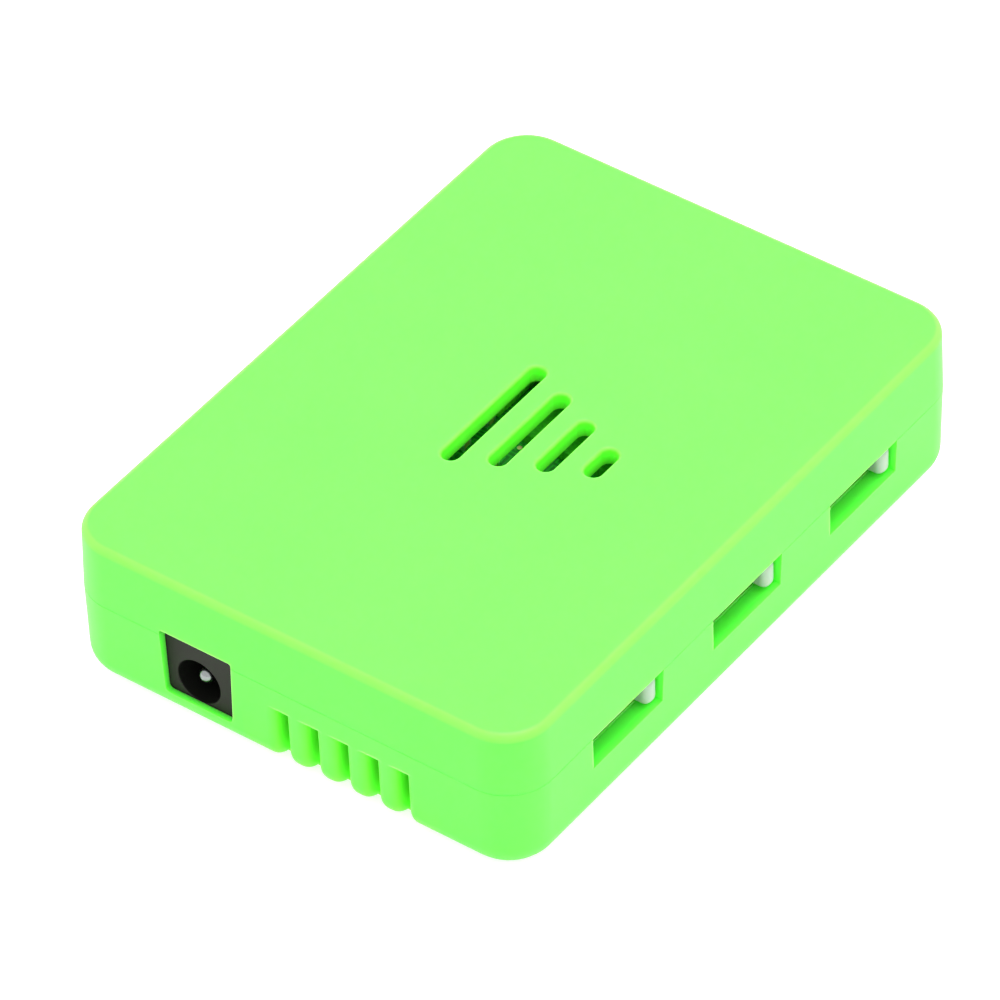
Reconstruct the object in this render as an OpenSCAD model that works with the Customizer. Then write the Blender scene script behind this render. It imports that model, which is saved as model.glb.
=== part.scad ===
// Small single board computer in a two-part moulded case.
// The board hangs component side down between the two shells. Four screws come up from
// below, through the tray and the board, into the cover. X runs across the case, Y along
// it, Z up; the origin is under the middle of the tray.

/* [Case] */
// Outer width across the seam
case_w = 60; // [56:0.5:70]
// Outer length along the seam
case_l = 82.2; // [81:0.5:95]
// Height of the bottom tray, which is the height of the seam
tray_h = 11.2; // [10.8:0.1:13]
// Height of the top cover above the seam
cover_h = 8.2; // [7.8:0.1:11]
// Radius of the upright corners
corner_r = 5.7; // [4.5:0.1:8]
// Lean of the outer and inner walls away from the seam, in degrees
draft = 1.3; // [0.5:0.1:2]
// Thickness of the side walls
wall_t = 2.4; // [2:0.1:2.6]
// Thickness of the floor
floor_t = 2; // [1.6:0.1:2.2]
// Thickness of the roof
roof_t = 2.2; // [1.6:0.1:2.4]
// Rounding of the cover's top edge
top_edge_r = 1; // [0.4:0.1:2]
// Rounding of the tray's bottom edge
bottom_edge_r = 2.9; // [1:0.1:3.6]
// Rounding where the inner walls meet the floor and the roof
inner_edge_r = 1; // [0.4:0.1:1.6]
// Small bevel on both rims at the seam
seam_break = 0.05; // [0.05:0.05:0.3]

/* [Lip between the shells] */
// Height of the tray's lip above the seam
lip_h = 1; // [0.6:0.1:1.4]
// Distance of the lip from the outer face
lip_inset = 1.3; // [1:0.1:1.5]
// Clearance round the lip
lip_gap = 0.12; // [0.05:0.01:0.25]

/* [Roof slots] */
// Number of slots in the roof
slot_count = 4; // [2:1:4]
// Straight length of the shortest slot
slot_short = 2.8; // [1:0.1:4]
// Length that each slot has over the next one
slot_step = 4.25; // [3:0.05:4.5]
// Width of each slot
slot_w = 2.1; // [1.4:0.05:3]
// Distance from slot to slot
slot_pitch = 4.7; // [4.2:0.05:5.5]
// Middle of the slot pattern across the case
slots_x = 4.1; // [-6:0.1:6]
// Rounding of each slot's upper rim
slot_rim_r = 0.45; // [0.1:0.05:0.5]

/* [Front vents] */
// Number of vents in the front wall
vent_count = 5; // [2:1:5]
// Width of each vent at its top
vent_w = 1.75; // [1.2:0.05:2.2]
// Lean of each vent's left wall, which widens it towards its foot, in degrees
vent_lean = 7.3; // [0:0.1:8]
// Lean of each vent's right wall, in degrees
vent_draft = 1.1; // [0:0.1:2]
// Rounding of the vents' upper corners
vent_corner_r = 0.45; // [0.1:0.05:0.5]
// Distance from vent to vent
vent_pitch = 3.93; // [3.6:0.05:4.2]
// Height of the top of the vents
vent_top = 8.4; // [5:0.1:9]
// Middle of the vent pattern across the case
vents_x = 6.9; // [4:0.1:9]
// Reach of the vents back from the front face
vent_reach = 2.7; // [2.7:0.1:5]

/* [Circuit board] */
// Height of the board's lower face above the seam
board_rise = 1; // [0.8:0.1:1.2]
// Thickness of the board
board_t = 1.6; // [1.2:0.1:1.8]
// Gap between the board's edge and the walls
board_gap = 0.4; // [0.3:0.05:0.8]
// Corner radius of the board
board_corner_r = 2.6; // [1:0.1:3]

/* [Case screws] */
// Distance of each screw from the outer faces
post_inset = 6.3; // [6.1:0.1:6.8]
// Diameter of the tray's posts
post_d = 8; // [7.8:0.1:8.2]
// Diameter of the cover's bosses
boss_d = 6.2; // [5:0.1:6.6]
// Diameter of the screw shank
screw_d = 2.4; // [2:0.1:2.6]
// Length of the screw under its head
screw_len = 11.8; // [10.6:0.1:12]
// Diameter of the screw head
screw_head_d = 4.6; // [4:0.1:5]
// Height of the screw head
screw_head_h = 1.7; // [1.4:0.1:2]
// Depth of the screw head's seat above the base
screw_seat_z = 4.2; // [3.4:0.1:4.4]

/* [Power socket] */
// Middle of the socket across the case
jack_x = -12.8; // [-14:0.1:-11.5]
// Width of the socket body
jack_w = 9; // [8.6:0.1:9.4]
// Height of the socket body
jack_h = 11; // [10.6:0.1:11.1]
// Length of the socket body
jack_len = 14.2; // [12.5:0.1:15]
// Length of the square front of the socket
jack_front = 3.4; // [2.8:0.1:4.2]
// Distance of the socket's axis from the board
jack_drop = 6.5; // [6.3:0.1:6.6]
// Bore for the plug's sleeve
jack_bore = 5.6; // [5.55:0.05:6]
// Depth of the bore
jack_bore_depth = 9.4; // [8.5:0.1:10]
// Diameter of the centre pin
jack_pin_d = 2; // [1.6:0.1:2.4]
// Distance of the pin's tip behind the socket's front
jack_pin_back = 0.6; // [0.5:0.1:2]
// Distance of the socket's front behind the case's front
jack_recess = 1.05; // [0.9:0.05:1.3]
// Middle of the socket's notch across the case
jack_notch_x = -12.25; // [-12.4:0.05:-12.1]
// Width of the notch at the seam
jack_notch_w = 9.5; // [9.2:0.1:10]
// Rounding of the notch's corners
jack_notch_r = 0.6; // [0.3:0.1:1]
// Height of the socket's axis over the sill of the notch
jack_sill = 2.65; // [2.4:0.05:3]
// Height of the socket's opening above the seam, in the cover
jack_headroom = 0.65; // [0.3:0.05:0.9]
// Clearance round the socket body inside the case
jack_gap = 0.2; // [0.1:0.05:0.3]
// Bevel at the mouth of the bore
jack_bore_break = 0.1; // [0.05:0.05:0.3]

/* [Slide switches] */
// Gap between the end switches and the screw posts
post_gap = 1.2; // [0.8:0.1:2]
// Travel of each lever
lever_travel = 10; // [7:0.5:10]
// Width of each lever along its travel
lever_w = 2.1; // [1.6:0.1:2.6]
// Rounding of the levers' outer corners
lever_corner_r = 1; // [0.4:0.1:1]
// Height of each lever
lever_h = 3.6; // [2.4:0.1:3.8]
// Distance of the levers' faces behind the case's side
lever_recess = 0.45; // [0.2:0.05:1]
// Free width in the window at each end of the travel
lever_gap = 0.35; // [0.3:0.05:0.6]
// Free height in the window under a lever
sill_gap = 0.3; // [0.2:0.1:1.2]
// Depth of the switch from its front plate to its back
switch_depth = 5.2; // [4.8:0.1:6]
// Height of the switch
switch_h = 6.6; // [6.2:0.1:7]
// Metal left at each end of the front plate's slot
switch_end = 1.55; // [1.4:0.05:2]
// Thickness of the metal frame
frame_t = 0.4; // [0.3:0.05:0.5]
// Thickness of the insulating base
switch_base_t = 1.3; // [1.1:0.1:1.6]
// Running clearance of the carriage
slide_gap = 0.1; // [0.05:0.01:0.15]
// Length of the carriage along its travel
carriage_l = 4.1; // [3.4:0.1:4.2]
// Gap between the switch's front plate and the wall
switch_wall_gap = 0.2; // [0.2:0.05:0.6]

/* [Processor and memory] */
// Side of the processor package
processor_w = 14; // [10:0.5:15]
// Height of the processor package
processor_h = 1.3; // [1:0.1:1.5]
// Middle of the processor across the case
processor_x = 3.6; // [0:0.1:6]
// Middle of the processor along the case
processor_y = 9.8; // [8.5:0.1:11]
// Width of the memory package
memory_w = 8; // [7:0.5:9]
// Length of the memory package
memory_l = 12.5; // [10:0.5:13]
// Height of the memory package
memory_h = 1; // [0.8:0.1:1.2]
// Gap between the processor and the memory
memory_gap = 2.4; // [2:0.1:3]

/* [Hidden] */
$fn = 64;

// A cut reaches this far past the face that it opens.
over = 1;
// Pieces that touch lie this far apart where a press fit would hold them.
fit = 0.05;

// Heights of the stack
case_h = tray_h + cover_h;
board_z = tray_h + board_rise;
board_top = board_z + board_t;
roof_z = case_h - roof_t;

// Board outline, and the four screws at its corners
board_w = case_w - 2 * (wall_t + board_gap);
board_l = case_l - 2 * (wall_t + board_gap);
post_x = case_w / 2 - post_inset;
post_y = case_l / 2 - post_inset;
post_places = [for (sx = [-1, 1], sy = [-1, 1]) [sx * post_x, sy * post_y]];
screw_hole_d = screw_d + 0.6;
screw_tip = screw_seat_z + screw_len;
screw_head_gap = 0.4;
boss_rib_t = 1.2;
boss_rib_gap = 0.6;

// Power socket
jack_y = -case_l / 2 + jack_recess;
jack_z = board_z - jack_drop;
jack_barrel_d = jack_w - 0.5;
jack_skin = jack_recess - 0.1;
jack_rear_y = jack_y + jack_len;
cradle_t = 1.2;
cradle_l = 9;
blade_w = 2.4;
blade_t = 0.6;
blade_slot = 0.3;
blade_tail = 1;
blade_bite = 0.3;
side_blade_drop = 3;
side_blade_back = 8.6;
side_blade_y = jack_y + side_blade_back;
top_blade_front = 5.4;
top_blade_y = jack_rear_y - top_blade_front;

// Slide switches
frame_slot_w = lever_travel + lever_w + 4 * slide_gap;
frame_slot_h = lever_h + 2 * slide_gap;
frame_l = frame_slot_w + 2 * switch_end;
switch_pitch = post_y - post_d / 2 - post_gap - frame_l / 2;
switch_x = case_w / 2 - wall_t - switch_wall_gap;
switch_y = [-switch_pitch, 0, switch_pitch];
lever_z = board_z - switch_h / 2;
window_w = lever_travel + lever_w + 2 * lever_gap;
window_h = tray_h - (lever_z - lever_h / 2 - sill_gap);
frame_in_l = frame_l - 2 * frame_t;
frame_in_h = switch_h - 2 * frame_t;
carriage_h = frame_in_h - 2 * slide_gap;
lever_out = case_w / 2 - lever_recess - switch_x;
lever_root = frame_t + slide_gap + 0.5;
lever_edge_r = 0.45;
base_x = switch_base_t - switch_depth;
pad_t = 0.2;
wiper_t = 0.2;
carriage_back = base_x + pad_t + slide_gap + wiper_t;
pin_w = 0.8;
pin_t = 0.5;
pin_back = -switch_depth - 1;
pin_hole_d = 1.2;
throw_y = [-lever_travel / 2, 0, lever_travel / 2];
common_y = lever_travel / 4;
leg_w = 1.4;
leg_y = frame_l / 2 - 1.2;
leg_x = -switch_depth / 2;
notch_lean = 2;

// Chips on the board's upper face, and the small eight-lead package
memory_x = processor_x - processor_w / 2 - memory_gap - memory_w / 2;
memory_y = processor_y + 1;
storage_at = [processor_x - 5.6, processor_y - 23.8];
soic_w = 3.9;
soic_l = 4.9;
soic_h = 1.6;
lead_t = 0.2;
lead_w = 0.42;
lead_reach = 0.95;
lead_pitch = 1.27;

// Small chip capacitors, placed from the processor's middle
small_capacitor = [1.6, 0.8, 0.8];
small_above = [[-9.8, -6.5], [-9.8, -11], [4.7, -11.8], [8, -11.8], [-5, -12.3], [-2, -17.3],
    [1.6, -17.3]];
small_below = [[-8.1, -1.8], [-8.1, 2.2], [8.4, -5.8], [8.4, -1.8], [8.4, 16.2], [-0.6, 16.2],
    [4.4, 21.2]];

// Clock crystal under the processor
crystal_at = [processor_x + 1.4, processor_y + 2.2];
crystal_w = 3.8;
crystal_run = 6.4;
crystal_h = 3.4;
crystal_flange = 0.4;
crystal_flange_t = 0.5;

// Wireless module between the board's left edge and the rear left post
wireless_w = 13;
wireless_l = 17;
wireless_t = 0.8;
wireless_edge = 5.7;
wireless_gap = 0.3;
wireless_pitch = 1.9;
wireless_hole_d = 0.8;
wireless_at = [-board_w / 2 + wireless_edge + wireless_w / 2,
    post_y - post_d / 2 - wireless_gap - wireless_l / 2];
shield_l = 10.6;
shield_h = 1.9;
shield_t = 0.2;
shield_inset = 1;

// Supply parts, placed from the rear of the power socket
regulator_at = [jack_x + 8.8, jack_rear_y + 3.85];
inductor_w = 6;
inductor_h = 3;
inductor_base_t = 0.6;
inductor_base_r = 0.8;
inductor_core_d = 4.4;
inductor_cap_w = 5.7;
inductor_cap_t = 0.8;
inductor_cap_r = 1.6;
inductor_pitch = 8.5;
inductor_at = [jack_x + 17.3, jack_rear_y + 0.85];
inductor_places = [inductor_at, inductor_at + [0, inductor_pitch]];
diode_at = [jack_x - 5.7, jack_rear_y + 6.85];
diode_l = 4.3;
diode_w = 2.7;
diode_h = 2.2;
diode_rise = 0.1;
diode_lead = [1.4, 1.5, 0.3];
diode_lead_out = 0.45;
can_d = 6.3;
can_h = 5.8;
can_groove = 0.25;
can_groove_r = 0.4;
can_groove_z = 1.1;
can_base_w = 6.5;
can_base_t = 0.9;
can_chamfer = 1.6;
can_pitch = 8;
can_at = [jack_x - 4.2, jack_rear_y + 17.85];
can_places = [can_at, can_at + [can_pitch, 0]];

// Console header beside the middle switch
header_ways = 4;
header_pitch = 2.54;
header_gap = 3;
header_x = switch_x + pin_back - header_gap - header_pitch / 2;
header_y = 0;
header_base_h = 2.5;
header_pin_w = 0.64;
header_pin_l = 6;

// Colours of the finished pieces
case_green = [0.34, 0.98, 0.2];
board_green = [0.05, 0.3, 0.17];
chip_black = [0.08, 0.08, 0.09];
tin = [0.78, 0.78, 0.76];
brass = [0.82, 0.66, 0.32];
white = [0.92, 0.93, 0.9];

// ---------- shared shapes ----------

// Half of an upright section: half_w wide at y = 0, leaning in to a flat face at y = depth.
// The corner there is rounded, and the section starts a little before y = 0.
module leaning_half(half_w, depth, edge_r, lean, start = 0, rim = 0) {
    mid = [half_w - (depth - edge_r) * tan(lean) - edge_r / cos(lean), depth - edge_r];
    reach = 2 * edge_r + 1;
    difference() {
        polygon([
            [0, -start],
            [half_w + start * tan(lean) - rim, -start],
            [half_w - rim * tan(lean), rim],
            [half_w - depth * tan(lean), depth],
            [0, depth]
        ]);
        if (edge_r > 0)
            difference() {
                polygon([
                    mid,
                    mid + reach * [cos(lean), sin(lean)],
                    mid + 2 * reach * [cos(45), sin(45)],
                    mid + reach * [0, 1]
                ]);
                translate(mid) circle(r = edge_r);
            }
    }
}

// Block with a rounded-rectangle plan, its walls leaning in from z = 0 to z = depth.
module leaning_block(w, l, r, depth, edge_r, lean = draft, start = 0, rim = 0) {
    cx = w / 2 - r;
    cy = l / 2 - r;
    for (turn = [0, 180]) rotate([0, 0, turn]) {
        translate([cx, cy, 0]) rotate_extrude(angle = 90)
            leaning_half(r, depth, edge_r, lean, start, rim);
        translate([-cx, cy, 0]) rotate([0, 0, 90]) rotate_extrude(angle = 90)
            leaning_half(r, depth, edge_r, lean, start, rim);
        translate([cx, cy, 0]) rotate([90, 0, 0]) linear_extrude(2 * cy)
            leaning_half(r, depth, edge_r, lean, start, rim);
        translate([-cx, cy, 0]) rotate([90, 0, 90]) linear_extrude(2 * cx)
            leaning_half(r, depth, edge_r, lean, start, rim);
    }
    translate([-cx, -cy, -start]) cube([2 * cx, 2 * cy, depth + start]);
}

// Case-shaped block that starts at the seam and is inset from the outer face.
module case_block(depth, edge_r, inset = 0, start = 0, rim = 0) {
    leaning_block(case_w - 2 * inset, case_l - 2 * inset, corner_r - inset,
        depth, edge_r, draft, start, rim);
}

// Cut that hangs from z = 0 and runs along Y, narrower at its foot so that it moulds cleanly.
module notch(w, depth, foot_r, run) {
    translate([0, run / 2, 0]) rotate([90, 0, 0]) linear_extrude(run)
        for (side = [0, 1]) mirror([side, 0]) mirror([0, 1])
            leaning_half(w / 2, depth, foot_r, notch_lean, lip_h + over);
}

// Flat rounded rectangle.
module rounded_plate(w, l, r) {
    square([w - 2 * r, l], center = true);
    square([w, l - 2 * r], center = true);
    for (sx = [-1, 1], sy = [-1, 1])
        translate([sx * (w / 2 - r), sy * (l / 2 - r)]) circle(r = r);
}

// Slot with round ends along Y.
module long_slot(w, l) {
    square([w, l], center = true);
    for (s = [-1, 1]) translate([0, s * l / 2]) circle(d = w);
}

// Moulded chip body that stands on z = 0, its sides drafted from a line at half height.
module chip_body(w, l, h) {
    for (up = [0, 1])
        translate([0, 0, h / 2]) mirror([0, 0, up])
            leaning_block(w, l, 0.25, h / 2, 0.08, 6);
}

// Places children at the four screws.
module at_posts() {
    for (p = post_places) translate([p[0], p[1], 0]) children();
}

// ---------- case ----------

module bottom_tray() {
    color(case_green) difference() {
        union() {
            tray_shell();
            intersection() {
                at_posts() cylinder(d = post_d, h = board_z);
                translate([0, 0, board_z]) mirror([0, 0, 1])
                    case_block(board_z, bottom_edge_r, wall_t / 2);
            }
            jack_cradle();
        }
        at_posts() {
            translate([0, 0, -over]) cylinder(d = screw_hole_d, h = board_z + 2 * over);
            translate([0, 0, -over])
                cylinder(d = screw_head_d + screw_head_gap, h = screw_seat_z + over);
        }
        translate([jack_notch_x, -case_l / 2, tray_h])
            notch(jack_notch_w, tray_h - jack_z + jack_sill, jack_notch_r, 2 * wall_t);
        jack_pocket();
        for (y = switch_y) translate([case_w / 2, y, tray_h]) rotate([0, 0, 90])
            notch(window_w, window_h, 0, 2 * wall_t + 1);
        front_vents();
    }
}

// Open box with the lip that centres the cover.
module tray_shell() {
    difference() {
        union() {
            translate([0, 0, tray_h]) mirror([0, 0, 1])
                case_block(tray_h, bottom_edge_r, rim = seam_break);
            translate([0, 0, tray_h])
                case_block(lip_h, 0.25, lip_inset, start = floor_t);
        }
        translate([0, 0, tray_h]) mirror([0, 0, 1])
            case_block(tray_h - floor_t, inner_edge_r, wall_t, start = lip_h + over);
    }
}

// Two ribs that hold the socket from the sides.
module jack_cradle() {
    for (s = [-1, 1])
        translate([jack_x + s * (jack_w / 2 + jack_gap + cradle_t / 2) - cradle_t / 2,
                -case_l / 2 + wall_t / 2, floor_t / 2])
            cube([cradle_t, cradle_l, jack_z - floor_t / 2]);
}

// Room for the socket body in the front wall and in the floor.
module jack_pocket() {
    pocket_z = board_z - jack_h - jack_gap;
    translate([jack_x - jack_w / 2 - jack_gap, -case_l / 2 + jack_skin, pocket_z])
        cube([jack_w + 2 * jack_gap, jack_len + jack_gap + 0.1, tray_h + lip_h + over - pocket_z]);
}

// Comb of vents that runs down the front wall and out through the bottom edge.
module front_vents() {
    for (i = [0 : vent_count - 1])
        translate([vents_x + (i - (vent_count - 1) / 2) * vent_pitch,
                -case_l / 2 + vent_reach, -over])
            rotate([90, 0, 0]) linear_extrude(vent_reach + over) {
                vent_half(vent_draft);
                mirror([1, 0]) vent_half(vent_lean);
            }
}

// Half of a vent's outline from below its foot to its top, its wall leaning in.
module vent_half(lean) {
    rise = vent_top + over;
    leaning_half(vent_w / 2 + rise * tan(lean), rise, vent_corner_r, lean);
}

module top_cover() {
    color(case_green) difference() {
        union() {
            cover_shell();
            at_posts() translate([0, 0, board_top])
                cylinder(d = boss_d, h = case_h - roof_t / 2 - board_top);
            boss_ribs();
        }
        at_posts() translate([0, 0, board_top - over])
            cylinder(d = screw_d + 2 * fit, h = screw_tip + 0.5 + over - board_top);
        roof_slots();
        translate([jack_x - jack_w / 2 - jack_gap, -case_l / 2 + jack_skin, tray_h - over])
            cube([jack_w + 2 * jack_gap, wall_t, board_rise + jack_gap + over]);
        translate([jack_notch_x, -case_l / 2, tray_h]) mirror([0, 0, 1])
            notch(jack_notch_w, jack_headroom, min(jack_notch_r, jack_headroom / 2), 2 * wall_t);
    }
}

// Lid with a rebate that takes the tray's lip.
module cover_shell() {
    translate([0, 0, tray_h]) difference() {
        case_block(cover_h, top_edge_r, rim = seam_break);
        case_block(cover_h - roof_t, inner_edge_r, wall_t, start = over);
        case_block(lip_h + lip_gap, 0, lip_inset - lip_gap, start = over);
    }
}

// Two ribs that tie each boss to the walls beside it.
module boss_ribs() {
    reach = post_inset - wall_t / 2;
    foot = board_top + boss_rib_gap;
    for (p = post_places) translate([p[0], p[1], foot]) {
        mirror([p[0] < 0 ? 1 : 0, 0, 0]) translate([0, -boss_rib_t / 2, 0])
            cube([reach, boss_rib_t, case_h - roof_t / 2 - foot]);
        mirror([0, p[1] < 0 ? 1 : 0, 0]) translate([-boss_rib_t / 2, 0, 0])
            cube([boss_rib_t, reach, case_h - roof_t / 2 - foot]);
    }
}

// Row of slots, each shorter than the last, with softened upper rims.
module roof_slots() {
    for (i = [0 : slot_count - 1]) {
        run = slot_short + slot_step * (slot_count - 1 - i);
        translate([slots_x + (i - (slot_count - 1) / 2) * slot_pitch, 0, 0]) {
            translate([0, 0, roof_z - over]) linear_extrude(roof_t + 2 * over)
                long_slot(slot_w, run);
            translate([0, 0, case_h]) slot_rim(run);
        }
    }
}

// Flare that rounds the rim of one slot.
module slot_rim(run) {
    for (turn = [0, 180]) rotate([0, 0, turn]) {
        translate([0, run / 2, 0]) rotate_extrude(angle = 180) rim_section();
        translate([0, run / 2, 0]) rotate([90, 0, 0]) linear_extrude(run) rim_section();
    }
}

module rim_section() {
    difference() {
        translate([0, -slot_rim_r]) square([slot_w / 2 + slot_rim_r, slot_rim_r + over]);
        translate([slot_w / 2 + slot_rim_r, -slot_rim_r]) circle(r = slot_rim_r);
    }
}

// Pan-head screws with a cross recess, heads down.
module case_screws() {
    color(tin) at_posts() translate([0, 0, screw_seat_z]) {
        cylinder(d = screw_d, h = screw_len - screw_d / 2);
        translate([0, 0, screw_len - screw_d / 2])
            cylinder(d1 = screw_d, d2 = screw_d / 3, h = screw_d / 2);
        mirror([0, 0, 1]) difference() {
            leaning_round(screw_head_d / 2, screw_head_h, 0.6);
            for (turn = [0, 90]) rotate([0, 0, turn])
                translate([-screw_head_d / 4, -0.35, screw_head_h - 0.9])
                    cube([screw_head_d / 2, 0.7, 0.9 + over]);
        }
    }
}

// Round block with a rounded upper edge.
module leaning_round(r, h, edge_r, lean = 2) {
    rotate_extrude() leaning_half(r, h, edge_r, lean);
}

// ---------- board ----------

module circuit_board() {
    color(board_green) translate([0, 0, board_z]) linear_extrude(board_t) difference() {
        rounded_plate(board_w, board_l, board_corner_r);
        for (p = post_places) translate(p) circle(d = screw_hole_d);
        for (y = switch_y) translate([switch_x, y]) switch_footprint();
        jack_footprint();
        translate([header_x, header_y]) for (i = [0 : header_ways - 1])
            translate([0, header_pin_y(i)]) circle(d = pin_hole_d);
    }
}

// Holes for one switch's pins and legs.
module switch_footprint() {
    for (y = concat(throw_y, [common_y])) translate([pin_back + pin_t / 2, y])
        circle(d = pin_hole_d);
    for (s = [-1, 1]) translate([leg_x, s * leg_y])
        square([leg_w + blade_slot, frame_t + blade_slot], center = true);
}

// Slots for the socket's blades.
module jack_footprint() {
    translate([jack_x, jack_rear_y + blade_t / 2 + fit])
        square([blade_w + blade_slot, blade_t + blade_slot], center = true);
    translate([jack_x, top_blade_y]) square([blade_w + blade_slot, blade_t + blade_slot], center = true);
    translate([jack_x - jack_w / 2 - blade_t / 2 - fit, side_blade_y])
        square([blade_t + blade_slot, blade_w + blade_slot], center = true);
}

// Seats children on the board's upper face.
module on_board(x, y) {
    translate([x, y, board_top]) children();
}

// Hangs children from the board's lower face.
module under_board(x, y) {
    translate([x, y, board_z]) mirror([0, 0, 1]) children();
}

module processor() {
    color(chip_black) on_board(processor_x, processor_y)
        chip_body(processor_w, processor_w, processor_h);
}

module memory_chip() {
    color(chip_black) on_board(memory_x, memory_y)
        chip_body(memory_w, memory_l, memory_h);
}

module storage_chip() {
    color(chip_black) on_board(storage_at[0], storage_at[1]) eight_lead_body();
}

module storage_leads() {
    color(tin) on_board(storage_at[0], storage_at[1]) eight_leads();
}

// Body and leads of a small eight-lead package.
module eight_lead_body() {
    translate([0, 0, lead_t]) chip_body(soic_w, soic_l, soic_h - lead_t);
}

module eight_leads() {
    for (side = [0, 180], i = [-1.5 : 1.5]) rotate([0, 0, side])
        translate([soic_w / 2, i * lead_pitch, 0]) gull_lead(lead_reach, soic_h / 2, lead_w);
}

// Lead that leaves a body at height h, bends down and ends in a flat foot.
module gull_lead(reach, h, w) {
    translate([0, w / 2, 0]) rotate([90, 0, 0]) linear_extrude(w) {
        translate([0, h]) square([reach / 2, lead_t]);
        translate([reach / 2 - lead_t, 0]) square([lead_t, h + lead_t]);
        translate([reach / 2 - lead_t, 0]) square([reach / 2 + lead_t, lead_t]);
    }
}

// Small board under the main one, with half-round contacts along its sides.
module wireless_board() {
    color(board_green) under_board(wireless_at[0], wireless_at[1]) linear_extrude(wireless_t)
        difference() {
            square([wireless_w, wireless_l], center = true);
            for (s = [-1, 1], i = [-3 : 3])
                translate([s * wireless_w / 2, i * wireless_pitch - wireless_pitch])
                    circle(d = wireless_hole_d);
        }
}

// Thin shield over the wireless board's front part.
module wireless_shield() {
    shield_w = wireless_w - 2 * shield_inset;
    color(tin) under_board(wireless_at[0],
            wireless_at[1] - wireless_l / 2 + shield_inset + shield_l / 2)
        translate([0, 0, wireless_t]) difference() {
            leaning_block(shield_w, shield_l, 0.6, shield_h, 0.3, 0.5);
            translate([0, 0, -over]) leaning_block(shield_w - 2 * shield_t,
                shield_l - 2 * shield_t, 0.4, shield_h - shield_t + over, 0.1, 0.5);
        }
}

module clock_crystal() {
    color(tin) under_board(crystal_at[0], crystal_at[1]) {
        linear_extrude(crystal_flange_t) long_slot(crystal_w + 2 * crystal_flange, crystal_run);
        linear_extrude(crystal_h) long_slot(crystal_w, crystal_run);
    }
}

module power_regulator() {
    color(chip_black) under_board(regulator_at[0], regulator_at[1]) eight_lead_body();
}

module regulator_leads() {
    color(tin) under_board(regulator_at[0], regulator_at[1]) eight_leads();
}

module power_inductors() {
    color([0.3, 0.3, 0.32]) for (p = inductor_places) under_board(p[0], p[1]) {
        leaning_block(inductor_w, inductor_w, inductor_base_r, inductor_base_t, 0.2, 1);
        cylinder(d = inductor_core_d, h = inductor_h);
        translate([0, 0, inductor_h - inductor_cap_t])
            leaning_block(inductor_cap_w, inductor_cap_w, inductor_cap_r, inductor_cap_t, 0.2, 1);
    }
}

module power_diode() {
    color(chip_black) under_board(diode_at[0], diode_at[1]) {
        translate([0, 0, diode_rise]) chip_body(diode_l, diode_w, diode_h);
        for (s = [-1, 1])
            translate([s * (diode_l / 2 + diode_lead_out - diode_lead[0] / 2) - diode_lead[0] / 2,
                    -diode_lead[1] / 2, 0])
                cube(diode_lead);
    }
}

// Round cans with a groove near the foot.
module bulk_capacitors() {
    color(tin) for (p = can_places) under_board(p[0], p[1]) translate([0, 0, can_base_t])
        rotate_extrude() difference() {
            leaning_half(can_d / 2, can_h, 0.5, 0);
            translate([can_d / 2 + can_groove_r - can_groove, can_groove_z])
                circle(r = can_groove_r);
        }
}

module capacitor_bases() {
    color(chip_black) for (p = can_places) under_board(p[0], p[1]) difference() {
        translate([-can_base_w / 2, -can_base_w / 2, 0])
            cube([can_base_w, can_base_w, can_base_t]);
        for (s = [-1, 1]) translate([can_base_w / 2, s * can_base_w / 2, -over])
            rotate([0, 0, 45])
                cube([can_chamfer, can_chamfer, 2 * can_base_t + 2 * over], center = true);
    }
}

// Small chip capacitors round the processor, on both faces of the board.
module small_capacitors() {
    color([0.6, 0.48, 0.36]) {
        for (p = small_above) on_board(processor_x + p[0], processor_y + p[1])
            rotate([0, 0, 90]) small_chip();
        for (p = small_below) under_board(processor_x + p[0], processor_y + p[1]) small_chip();
    }
}

module small_chip() {
    translate([-small_capacitor[0] / 2, -small_capacitor[1] / 2, 0]) cube(small_capacitor);
}

function header_pin_y(i) = (i - (header_ways - 1) / 2) * header_pitch;

// Four-way pin header for the serial console, inside the case.
module serial_header() {
    color(chip_black) under_board(header_x, header_y) linear_extrude(header_base_h) difference() {
        for (i = [0 : header_ways - 1]) translate([0, header_pin_y(i)]) intersection() {
            square(header_pitch, center = true);
            rotate(45) square(header_pitch * 1.22, center = true);
        }
        for (i = [0 : header_ways - 1]) translate([0, header_pin_y(i)])
            square(header_pin_w + 2 * fit, center = true);
    }
}

module header_pins() {
    color(brass) translate([header_x, header_y, board_top + blade_tail - board_t - header_pin_l])
        for (i = [0 : header_ways - 1]) translate([0, header_pin_y(i), 0])
            translate([-header_pin_w / 2, -header_pin_w / 2, 0])
                cube([header_pin_w, header_pin_w, header_pin_l + board_t]);
}

// ---------- power socket ----------

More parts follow.
